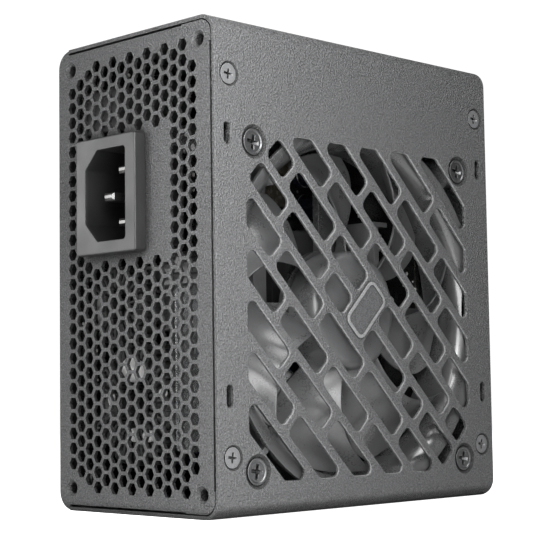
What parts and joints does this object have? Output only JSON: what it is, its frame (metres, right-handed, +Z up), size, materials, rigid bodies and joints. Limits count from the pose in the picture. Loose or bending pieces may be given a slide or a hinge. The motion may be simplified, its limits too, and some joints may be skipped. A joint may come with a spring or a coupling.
{
  "type": "computer power supply unit",
  "caption": "Small form factor modular computer power supply: folded steel casing, slanted-slot fan grille, hexagon vents, mains inlet, spinning fan.",
  "frame": {"origin": "centre of the casing's bottom face, as it stands on its narrow end", "axes": "+X from the mains panel to the socket panel, +Y from the fan grille to the back wall, +Z up along the longest side"},
  "size_m": [0.1129, 0.0639, 0.125],
  "materials": {
    "powder_coat": "fine textured matte powder coat",
    "badge_metal": "satin",
    "cover_screw_steel": "satin",
    "fan_screw_steel": "satin",
    "bright_steel": "satin",
    "insulator": "matte",
    "clear_sheet": "clear film",
    "fan_plastic": "satin moulded",
    "rotor_plastic": "satin moulded",
    "ferrite": "sintered",
    "core_coating": "painted core",
    "clip_plastic": "moulded",
    "bronze": "sintered bronze",
    "lamination": "stacked sheet",
    "copper": "enamelled copper",
    "dark_enamel": "dark enamelled wire",
    "board_laminate": "solder mask",
    "cable_jacket": "satin",
    "inlet_plastic": "moulded",
    "pin_metal": "nickel plated",
    "film_box": "moulded box",
    "disc_blue": "dipped",
    "ceramic": "glazed",
    "aluminium_sink": "extruded",
    "chip_epoxy": "moulded epoxy",
    "capacitor_sleeve": "sleeved can",
    "winding_tape": "polyester tape",
    "thermistor_coat": "dipped",
    "socket_plastic": "moulded"
  },
  "bodies": {
    "casing": {"base_shell": "powder_coat", "fan_cover": "powder_coat", "badge_plate": "badge_metal", "cover_screws": "cover_screw_steel", "fan_screws": "fan_screw_steel", "board_screws": "fan_screw_steel", "board_standoffs": "bright_steel", "insulation_sheet": "insulator", "air_baffle": "clear_sheet", "fan_frame": "fan_plastic", "transformer_core": "ferrite", "line_choke_core": "core_coating", "boost_choke_core": "core_coating", "fan_plug": "clip_plastic", "bearing_bush": "bronze", "stator_core": "lamination", "stator_coils": "copper", "output_busbars": "copper", "line_choke_winding": "dark_enamel", "boost_choke_winding": "dark_enamel", "fan_board": "board_laminate", "filter_board": "board_laminate", "main_board": "board_laminate", "control_board": "board_laminate", "modular_board": "board_laminate", "fan_cable": "cable_jacket", "mains_wires": "cable_jacket", "inlet_housing": "inlet_plastic", "line_pin": "pin_metal", "neutral_pin": "pin_metal", "earth_pin": "pin_metal", "socket_pins": "pin_metal", "x_capacitor": "film_box", "y_capacitors": "disc_blue", "mains_fuse": "ceramic", "bridge_heatsink": "aluminium_sink", "primary_heatsink": "aluminium_sink", "secondary_heatsink": "aluminium_sink", "bridge_rectifier": "chip_epoxy", "primary_transistors": "chip_epoxy", "relay": "chip_epoxy", "bulk_capacitor": "capacitor_sleeve", "output_capacitors": "capacitor_sleeve", "transformer_winding": "winding_tape", "standby_transformer": "winding_tape", "inrush_thermistor": "thermistor_coat", "socket_24way": "socket_plastic", "socket_processor": "socket_plastic", "socket_graphics_1": "socket_plastic", "socket_graphics_2": "socket_plastic", "socket_12v_power": "socket_plastic", "socket_drive_1": "socket_plastic", "socket_drive_2": "socket_plastic", "socket_drive_3": "socket_plastic"},
    "rotor": {"fan_rotor": "rotor_plastic", "rotor_yoke": "bright_steel", "magnet_ring": "ferrite", "fan_shaft": "bright_steel", "shaft_clip": "clip_plastic"}
  },
  "joints": [
    {"name": "fan_spin", "type": "hinge", "parent": "casing", "child": "rotor", "pos_m": [0, -0.024, 0.0525], "axis": [0, 1, 0], "continuous": true}
  ]
}
